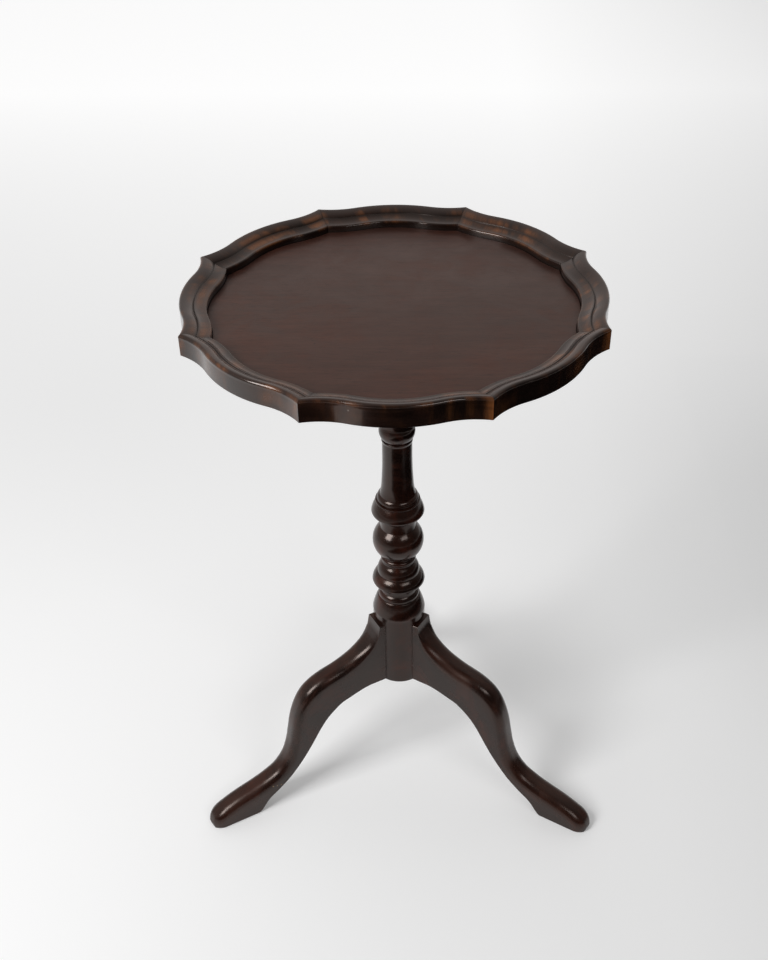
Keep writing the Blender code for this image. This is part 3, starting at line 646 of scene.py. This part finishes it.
def panel_mesh(name):
    """The lobed board as a stack of outlines, closed below and above."""
    work = bmesh.new()
    rings = []
    for inset, height in PANEL_RINGS:
        ring = []
        for lobe in range(LOBES):
            turn = Matrix.Rotation(TOP_TURN - 2 * LOBE_HALF_ANGLE * lobe, 2)
            for point in lobe_line(inset * MM)[:-1]:
                place = turn @ point + TOP_CENTRE.xy
                ring.append(work.verts.new((place.x, place.y, height * MM)))
        rings.append(ring)
    for first, second in zip(rings, rings[1:]):
        for i in range(len(first)):
            j = (i + 1) % len(first)
            work.faces.new((first[i], first[j], second[j], second[i]))
    work.faces.new(rings[0])
    work.faces.new(rings[-1])
    return closed_mesh(work, name)


PANEL_MARKS = tuple(  # dents that hold dark polish
    (x, y, 0.5936, reach, (0.010, 0.005, 0.004))
    for x, y, reach in (
        (-0.0714, -0.0910, 0.0010), (-0.0725, -0.0874, 0.0007), (-0.0692, -0.0962, 0.0012),
        (-0.0059, -0.0512, 0.0008), (-0.0065, -0.0623, 0.0007), (-0.0123, -0.1101, 0.0008),
    )
)
PANEL_STAIN = ((0.038, 0.0150, 0.0105), (0.048, 0.0175, 0.0115), (0.062, 0.0190, 0.0110))
panel_finish = mahogany(
    "panel_mahogany", "object", "X", stain=PANEL_STAIN, red=0.5, gloss=0.34, coat=0.32,
    streaky=0.18, marks=PANEL_MARKS,
)
panel = finished_piece(
    "panel_board",
    panel_mesh("panel_board"),
    panel_finish.material,
    "top",
    30.0,
)
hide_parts("top_panel")


# ---------------------------------------------------------------- the moulded rim
# Eight lengths of mahogany moulding, shaped to the lobes and mitred at the points, with a
# rounded crest, a fine quirk and a long cove. The stain has rubbed through to orange-brown in
# bands, the quirk is darkened, and the inner step down to the panel carries painted shade.

RIM_SECTION = (
    (0, 588.3, 0), (0, 605.2, 0), (3.2, 608.6, 1.3), (12.2, 603.8, 0.9),
    (12.8, 603.1, -0.05), (13.6, 603.6, 0.08), (22.6, 600.4, -0.8),
    (24.5, 598.9, 0.5), (24.5, 591.5, 0), (24.3, 591.3, 0), (19.5, 591.3, 0), (19.5, 588, 0),
    (0.3, 588, 0), (0, 588.3, 0),
)
RIM_WORN = (  # inset, height, reach and strength of the rubbed places, in millimetres
    (1.0, 607.4, 2.2, 0.7), (9.5, 606.2, 3.4, 0.8), (17.5, 601.8, 3.6, 1.0),
    (24.2, 599.8, 1.5, 0.7), (0.0, 597.0, 9.0, 0.3),
)
RIM_DARKENING_AND_SHADE = (  # the same of the darkened places: the quirk, and the inner step as painted shade
    (12.9, 603.2, 1.1, 1.0), (24.5, 593.5, 3.6, 1.0),
)
MITRE_GRIME_REACH = 3.2 * MM
MITRE_WEAR_REACH = 7.0 * MM


def strongest(inset, height, places):
    """How strongly the nearest of some places on the section is felt at a point of it."""
    felt = 0.0
    for x, z, reach, strength in places:
        away = math.dist((inset, height), (x * MM, z * MM)) / (reach * MM)
        felt = max(felt, strength * math.exp(-away * away))
    return felt


def rim_length_mesh(name):
    """One length of the rim, with its run, wear, and darkening (dirt at the mitres, painted shade
    on the inner step) as attributes.
    """
    section = bowed_line(RIM_SECTION, 0.0016)[:-1]
    work = bmesh.new()
    grid, grain, worn, grime_and_shade = [], [], [], []
    girth, last = 0.0, section[0]
    for inset, height in section:
        girth += math.dist(last, (inset, height))
        last = (inset, height)
        row, run, before = [], 0.0, None
        for point in lobe_line(inset, short=0.12 * MM):
            run += (point - before).length if before is not None else 0.0
            before = point
            row.append(work.verts.new((point.x, point.y, height)))
            grain.append((run, inset, height))
            worn.append(strongest(inset, height, RIM_WORN))
            grime_and_shade.append(strongest(inset, height, RIM_DARKENING_AND_SHADE))
        inside = min(1.0, inset / (4.0 * MM))
        for n, vertex in enumerate(row, len(grime_and_shade) - len(row)):
            end = min((vertex.co - row[0].co).length, (vertex.co - row[-1].co).length)
            held = 0.6 * inside * math.exp(-((end / MITRE_GRIME_REACH) ** 2))
            grime_and_shade[n] = max(grime_and_shade[n], held)
            if inset < 0.2 * MM:
                worn[n] = max(worn[n], 0.9 * math.exp(-((end / MITRE_WEAR_REACH) ** 2)))
        grid.append(row)
    for i in range(len(grid)):
        j = (i + 1) % len(grid)
        for k in range(len(grid[0]) - 1):
            work.faces.new((grid[i][k], grid[i][k + 1], grid[j][k + 1], grid[j][k]))
    work.faces.new([row[0] for row in grid])
    work.faces.new([row[-1] for row in reversed(grid)])
    mesh = closed_mesh(work, name)
    set_attribute(mesh, "grain", "FLOAT_VECTOR", grain)
    set_attribute(mesh, "worn", "FLOAT", worn)
    set_attribute(mesh, "grime_and_shade", "FLOAT", grime_and_shade)
    return mesh


RIM_STAIN = ((0.0050, 0.0024, 0.0018), (0.0150, 0.0062, 0.0040), (0.036, 0.0100, 0.0048))
RIM_NICK = (-0.0337, -0.2156, 0.6012, 0.0008, (0.5, 0.46, 0.42))
# The rim's darkening attribute is dirt at the mitres, a darkened quirk, and painted shade on the
# inner step.
rim_finish = mahogany(
    "rim_mahogany", "attribute", "X", stain=RIM_STAIN, red=0.3, worn="worn",
    bare=(0.15, 0.050, 0.013), grime_and_shade="grime_and_shade", bands=(1.0, 0.35, 0.25), gloss=0.17,
    coat=0.08, lacquer=0.55, marks=(RIM_NICK,),
)
rim_mesh = through_nodes(
    "rim_mouldings",
    rim_length_mesh("rim_length"),
    ring_of_copies,
    {
        "Copies": LOBES,
        "First Angle": TOP_TURN,
        "Centre": tuple(TOP_CENTRE),
        "Finish": rim_finish.material,
    },
)
rim = finished_piece(
    "rim_mouldings", rim_mesh, rim_finish.material, "top", 40.0
)
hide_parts(*[f"rim_segment_{i + 1}" for i in range(LOBES)])


# ---------------------------------------------------------------- wood, steel and brass below
# The block with its keeper, the bearers, the brace and the catch, their edges eased as a plane
# or a file leaves them. The wood is stained but unpolished, the brace is plain steel, and the
# catch is old brass.

under_wood = mahogany("under_mahogany", "object", "Y", red=0.4, gloss=0.42, coat=0.4)
BEECH_STAIN = ((0.16, 0.085, 0.040), (0.24, 0.13, 0.062), (0.28, 0.14, 0.060))
wedge_wood = mahogany(
    "wedge_beech", "object", "Z", stain=BEECH_STAIN, red=0.3, gloss=0.55
)


def metal(name, colour, dull, roughness):
    """Filed metal that has tarnished in patches to a duller and rougher colour."""
    shop = Shop(name)
    place = shop.object_place()
    tarnish = shop.ramp(shop.noise(place, 140.0, 5.0, 0.65), 0.38, 0.66)
    brushed = shop.noise(shop.stretched(place, (1.0, 0.08, 1.0)), 2200.0, 2.0)
    shop.links.new(shop.mix(tarnish, colour, dull), shop.shader.inputs["Base Color"])
    rough = shop.ramp(tarnish, 0.0, 1.0, roughness, roughness + 0.2)
    shop.links.new(rough, shop.shader.inputs["Roughness"])
    shop.links.new(shop.bump(brushed, 0.00002, 0.4), shop.shader.inputs["Normal"])
    shop.shader.inputs["Metallic"].default_value = 1.0
    return shop


steel = metal("dull_steel", (0.30, 0.29, 0.28), (0.10, 0.075, 0.06), 0.38)
brass = metal("old_brass", (0.55, 0.38, 0.14), (0.22, 0.14, 0.055), 0.30)

WELD_DISTANCE = 2e-6
ARRIS_ANGLE = 0.7  # radians: flatter edges are facets of a round and stay as they are


def eased_mesh(node, width):
    """A copy of a CAD node's mesh with its arrises rounded."""
    work = bmesh.new()
    work.from_mesh(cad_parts[node].data)
    bmesh.ops.remove_doubles(work, verts=work.verts, dist=WELD_DISTANCE)
    bmesh.ops.dissolve_limit(
        work, angle_limit=math.radians(1.0), verts=work.verts, edges=work.edges
    )
    arrises = [
        edge
        for edge in work.edges
        if len(edge.link_faces) == 2 and edge.calc_face_angle() > ARRIS_ANGLE
    ]
    bmesh.ops.bevel(
        work, geom=arrises, offset=width, segments=3, profile=0.5, affect="EDGES",
        clamp_overlap=True,
    )
    return closed_mesh(work, node + "_eased")


for node, width, finish, body, slot in (
    ("tilt_block", 0.9 * MM, under_wood, "base", "block_mahogany"),
    ("bearer_left", 0.9 * MM, under_wood, "top", "bearer_mahogany"),
    ("bearer_right", 0.9 * MM, under_wood, "top", "bearer_mahogany"),
    ("brace_plate", 0.3 * MM, steel, "base", "steel"),
    ("keeper_plate", 0.2 * MM, brass, "base", "brass"),
    ("catch_plate", 0.25 * MM, brass, "top", "brass"),
    ("catch_guide", 0.25 * MM, brass, "top", "brass"),
    ("catch_bolt", 0.5 * MM, brass, "bolt", "brass"),
):
    piece = finished_piece(
        node + "_eased", eased_mesh(node, width), finish.material, body
    )
    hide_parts(node)

KNOB_TENON = 3.6 * MM
KNOB_PROFILE = (  # as the column's, with its height from the shoulder
    (0, 3.6, 0), (1.6, 3.6, 0), (1.6, -0.3, 0), (3.4, -0.3, 0), (3.6, -0.5, 0.05),
    (3.6, -0.9, 0), (3.4, -1.1, 0.05), (2.2, -1.8, 0), (2.2, -3.4, -0.3),
    (4.0, -4.6, 0.1), (4.0, -8.6, 1.6), (0, -10.2, 0.8),
)
low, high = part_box("catch_knob")
knob_mesh = lathe_mesh("knob_turned", bowed_line(KNOB_PROFILE, 0.0006), 64)
knob_middle = (low + high) / 2
knob_mesh.transform(
    Matrix.Translation((knob_middle.x, knob_middle.y, high.z - KNOB_TENON))
)
knob = finished_piece("knob_turned", knob_mesh, brass.material, "bolt")
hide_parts("catch_knob")

for name, finish in (
    ("tenon_wedge", wedge_wood), ("pivot_pin_left", steel), ("pivot_pin_right", steel)
):
    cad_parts[name].data.materials.clear()
    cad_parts[name].data.materials.append(finish.material)


# ---------------------------------------------------------------- the wood screws
# Countersunk slotted screws, driven home and left with their slots at any angle: steel ones
# in the brace and the bearers, small brass ones in the keeper and the catch.

SCREW_PROFILE = (  # radius and height in shank radii
    (0, 0), (1.88, 0), (1.96, -0.07), (1.0, -1.05), (1.0, -3.0), (0.85, -3.2), (0, -3.2),
)


def screw_tree():
    """One slotted screw on each place, turned to face its way out, with its slot at any angle."""
    tree = bpy.data.node_groups.new("slotted_screws", "GeometryNodeTree")
    for label, kind in (
        ("Places", "NodeSocketGeometry"),
        ("Screw", "NodeSocketObject"),
        ("Slot Width", "NodeSocketFloat"),
        ("Slot Depth", "NodeSocketFloat"),
        ("Seed", "NodeSocketInt"),
        ("Finish", "NodeSocketMaterial"),
    ):
        tree.interface.new_socket(label, in_out="INPUT", socket_type=kind)
    tree.interface.new_socket("Screws", in_out="OUTPUT", socket_type="NodeSocketGeometry")
    nodes, links = tree.nodes, tree.links
    given = nodes.new("NodeGroupInput")
    made = nodes.new("NodeGroupOutput")
    blank = nodes.new("GeometryNodeObjectInfo")
    size = nodes.new("ShaderNodeCombineXYZ")
    size.inputs["Y"].default_value = 6.0
    saw = nodes.new("GeometryNodeMeshCube")
    cut = nodes.new("GeometryNodeMeshBoolean")
    cut.operation = "DIFFERENCE"
    out = nodes.new("GeometryNodeInputNamedAttribute")
    out.data_type = "FLOAT_VECTOR"
    out.inputs["Name"].default_value = "out"
    radius = nodes.new("GeometryNodeInputNamedAttribute")
    radius.data_type = "FLOAT"
    radius.inputs["Name"].default_value = "shank"
    face = nodes.new("FunctionNodeAlignRotationToVector")
    face.axis = "Z"
    spin = nodes.new("FunctionNodeRandomValue")
    spin.data_type = "FLOAT"
    spin.inputs[3].default_value = math.pi
    about = nodes.new("FunctionNodeAxisAngleToRotation")
    both = nodes.new("FunctionNodeRotateRotation")
    both.rotation_space = "LOCAL"
    place = nodes.new("GeometryNodeInstanceOnPoints")
    real = nodes.new("GeometryNodeRealizeInstances")
    finish = nodes.new("GeometryNodeSetMaterial")
    links.new(given.outputs["Screw"], blank.inputs["Object"])
    links.new(given.outputs["Slot Width"], size.inputs["X"])
    links.new(given.outputs["Slot Depth"], size.inputs["Z"])
    links.new(size.outputs[0], saw.inputs["Size"])
    links.new(blank.outputs["Geometry"], cut.inputs["Mesh 1"])
    links.new(saw.outputs["Mesh"], cut.inputs["Mesh 2"])
    links.new(out.outputs["Attribute"], face.inputs["Vector"])
    links.new(given.outputs["Seed"], spin.inputs["Seed"])
    links.new(spin.outputs[1], about.inputs["Angle"])
    links.new(face.outputs["Rotation"], both.inputs["Rotation"])
    links.new(about.outputs["Rotation"], both.inputs["Rotate By"])
    links.new(given.outputs["Places"], place.inputs["Points"])
    links.new(cut.outputs["Mesh"], place.inputs["Instance"])
    links.new(both.outputs["Rotation"], place.inputs["Rotation"])
    links.new(radius.outputs["Attribute"], place.inputs["Scale"])
    links.new(place.outputs["Instances"], real.inputs[0])
    links.new(real.outputs[0], finish.inputs["Geometry"])
    links.new(given.outputs["Finish"], finish.inputs["Material"])
    links.new(finish.outputs[0], made.inputs[0])
    return tree


HEAD_TO_SHANK = 4  # the head's width in shank radii

slotted_screws = screw_tree()
blank_mesh = lathe_mesh("screw_blank", SCREW_PROFILE, 48)
screw_blank = bpy.data.objects.new("screw_blank", blank_mesh)
for group, start, body, finish, slot, seed in (
    ("brace_screws", ("brace_screw",), "base", steel, "steel", 3),
    ("keeper_screws", ("keeper_screw",), "base", brass, "brass", 5),
    ("bearer_screws", ("bearer_screw",), "top", steel, "steel", 8),
    ("catch_screws", ("guide_screw", "plate_screw"), "top", brass, "brass", 13),
):
    names = [name for name in sorted(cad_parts) if name.startswith(start)]
    faces_back = group == "keeper_screws"  # the others face down
    heads, outs, shanks = [], [], []
    for name in names:
        low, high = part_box(name)
        middle = (low + high) / 2
        if faces_back:
            heads.append((middle.x, high.y, middle.z))
        else:
            heads.append((middle.x, middle.y, low.z))
        outs.append((0, 1, 0) if faces_back else (0, 0, -1))
        shanks.append((high.x - low.x) / HEAD_TO_SHANK)
    places = bpy.data.meshes.new(group)
    places.from_pydata(heads, [], [])
    set_attribute(places, "out", "FLOAT_VECTOR", outs)
    set_attribute(places, "shank", "FLOAT", shanks)
    mesh = through_nodes(
        group,
        places,
        slotted_screws,
        {
            "Screw": screw_blank,
            "Slot Width": 0.38,
            "Slot Depth": 0.9,
            "Seed": seed,
            "Finish": finish.material,
        },
    )
    piece = finished_piece(group, mesh, finish.material, body)
    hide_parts(*names)
bpy.data.objects.remove(screw_blank)


# ---------------------------------------------------------------- floor, light and camera
# A seamless white floor that glows as painted light, brighter towards the back and far away and
# dimmer to the right, a large soft light to the front left, a weaker one to the front right, and a
# pale room that is brightest behind the table and to its left.

floor_mesh = bpy.data.meshes.new("floor")
floor_mesh.from_pydata(
    [(-14, -14, 0), (14, -14, 0), (14, 14, 0), (-14, 14, 0)], [], [(0, 1, 2, 3)]
)
floor = bpy.data.objects.new("floor", floor_mesh)
bpy.context.scene.collection.objects.link(floor)
paper = Shop("white_paper_painted_glow")
paper.shader.inputs["Base Color"].default_value = (0.86, 0.86, 0.86, 1)
paper.shader.inputs["Roughness"].default_value = 0.75
paper.shader.inputs["Specular IOR Level"].default_value = 0.2
# The paper glows as painted light: brighter towards the back, dimmer to the right, and bright far
# off.
floor_place = paper.object_place()
spot = paper.add("ShaderNodeSeparateXYZ", Vector=floor_place)
back_glow = paper.add(
    "ShaderNodeMapRange",
    Value=spot.outputs["Y"],
    From_Min=-0.6,
    From_Max=2.4,
    To_Min=0.03,
    To_Max=0.63,
)
right_glow_dimming = paper.add(
    "ShaderNodeMapRange",
    Value=spot.outputs["X"],
    From_Min=0.3,
    From_Max=1.2,
    To_Min=0.0,
    To_Max=0.18,
)
painted_floor_glow = paper.math("SUBTRACT", back_glow.outputs[0], right_glow_dimming.outputs[0])
far_glow = paper.ramp(paper.length(floor_place), 2.2, 6.0, 0.0, 0.5)
paper.links.new(paper.math("MAXIMUM", painted_floor_glow, far_glow), paper.shader.inputs["Emission Strength"])
paper.shader.inputs["Emission Color"].default_value = (1, 1, 1, 1)
floor_mesh.materials.append(paper.material)

TABLE_MIDDLE = Vector((0, AXIS.y, 0.36))


def soft_light(name, azimuth, elevation, distance, width, height, watts):
    """A soft box aimed at the table. Azimuth 0 is straight in front, positive to the right."""
    lamp = bpy.data.lights.new(name, "AREA")
    lamp.shape = "RECTANGLE"
    lamp.size = width
    lamp.size_y = height
    lamp.energy = watts
    a, e = math.radians(azimuth), math.radians(elevation)
    out = Vector((math.sin(a) * math.cos(e), -math.cos(a) * math.cos(e), math.sin(e)))
    box = bpy.data.objects.new(name, lamp)
    box.location = TABLE_MIDDLE + out * distance
    box.rotation_euler = out.to_track_quat("Z", "Y").to_euler()
    bpy.context.scene.collection.objects.link(box)
    return box


soft_light("key_light", -52, 36, 1.6, 0.68, 0.80, 19)
soft_light("side_light", 36, 38, 2.2, 1.1, 0.5, 7)

# Black flags lie on the studio's floor in front and to the right: only the lacquer sees them.
flag_mesh = bpy.data.meshes.new("black_flags")
flag_mesh.from_pydata(
    [
        (-0.42, -4.0, 0.002), (4.0, -4.0, 0.002), (4.0, -0.42, 0.002), (-0.42, -0.42, 0.002),
        (0.48, -0.42, 0.002), (4.0, 0.9, 0.002), (0.48, 0.9, 0.002),
    ],
    [],
    [(0, 1, 2, 4, 3), (4, 2, 5, 6)],
)
flags = bpy.data.objects.new("black_flags", flag_mesh)
bpy.context.scene.collection.objects.link(flags)
felt = Shop("black_felt")
felt.shader.inputs["Base Color"].default_value = (0.01, 0.01, 0.01, 1)
felt.shader.inputs["Roughness"].default_value = 0.9
felt.shader.inputs["Specular IOR Level"].default_value = 0.0
flag_mesh.materials.append(felt.material)
flags.visible_camera = False
flags.visible_diffuse = False
flags.visible_shadow = False

world = bpy.data.worlds.new("pale_room")
world.use_nodes = True
bpy.context.scene.world = world
sky = world.node_tree
look = sky.nodes.new("ShaderNodeTexCoord")
lean = sky.nodes.new("ShaderNodeVectorMath")
lean.operation = "DOT_PRODUCT"
lean.inputs[1].default_value = (-0.45, 0.85, 0.25)
sky.links.new(look.outputs["Generated"], lean.inputs[0])
spread = sky.nodes.new("ShaderNodeMapRange")
spread.interpolation_type = "SMOOTHSTEP"
spread.inputs["From Min"].default_value = -0.55
spread.inputs["From Max"].default_value = 0.65
spread.inputs["To Min"].default_value = 0.07
spread.inputs["To Max"].default_value = 0.55
sky.links.new(lean.outputs["Value"], spread.inputs["Value"])
seen = sky.nodes.new("ShaderNodeLightPath")
backdrop = sky.nodes.new("ShaderNodeMix")
backdrop.inputs["B"].default_value = 0.84
sky.links.new(seen.outputs["Is Camera Ray"], backdrop.inputs["Factor"])
sky.links.new(spread.outputs["Result"], backdrop.inputs["A"])
sky.links.new(backdrop.outputs["Result"], sky.nodes["Background"].inputs["Strength"])
tint = sky.nodes.new("ShaderNodeMix")
tint.data_type = "RGBA"
tint.inputs[MIX_FIRST].default_value = (1, 1, 1, 1)
tint.inputs[MIX_SECOND].default_value = (1.0, 0.90, 0.86, 1)
sky.links.new(seen.outputs["Is Glossy Ray"], tint.inputs[MIX_SHARE])
sky.links.new(tint.outputs[MIX_RESULT], sky.nodes["Background"].inputs["Color"])

CAMERA_PLACE = Vector((0.0226343, -0.98828577, 1.10161773))
CAMERA_YAW = math.radians(-2.1648120)
CAMERA_PITCH = math.radians(36.2717698)
CAMERA_ROLL = math.radians(1.1288034)
CAMERA_LENS = 44.0754
ahead = Vector(
    (
        math.sin(CAMERA_YAW) * math.cos(CAMERA_PITCH),
        math.cos(CAMERA_YAW) * math.cos(CAMERA_PITCH),
        -math.sin(CAMERA_PITCH),
    )
)
level = Vector((math.cos(CAMERA_YAW), -math.sin(CAMERA_YAW), 0))
fall = ahead.cross(level)
right = level * math.cos(CAMERA_ROLL) + fall * math.sin(CAMERA_ROLL)
down = fall * math.cos(CAMERA_ROLL) - level * math.sin(CAMERA_ROLL)
lens = bpy.data.cameras.new("camera")
lens.sensor_width = 36.0
lens.lens = CAMERA_LENS
lens.clip_start = 0.01
lens.clip_end = 100.0
camera = bpy.data.objects.new("camera", lens)
bpy.context.scene.collection.objects.link(camera)
turned = Matrix((right, -down, -ahead)).transposed().to_4x4()
camera.matrix_world = Matrix.Translation(CAMERA_PLACE) @ turned
bpy.context.scene.camera = camera
bpy.context.scene.view_settings.view_transform = "Standard"
bpy.context.scene.view_settings.look = "None"
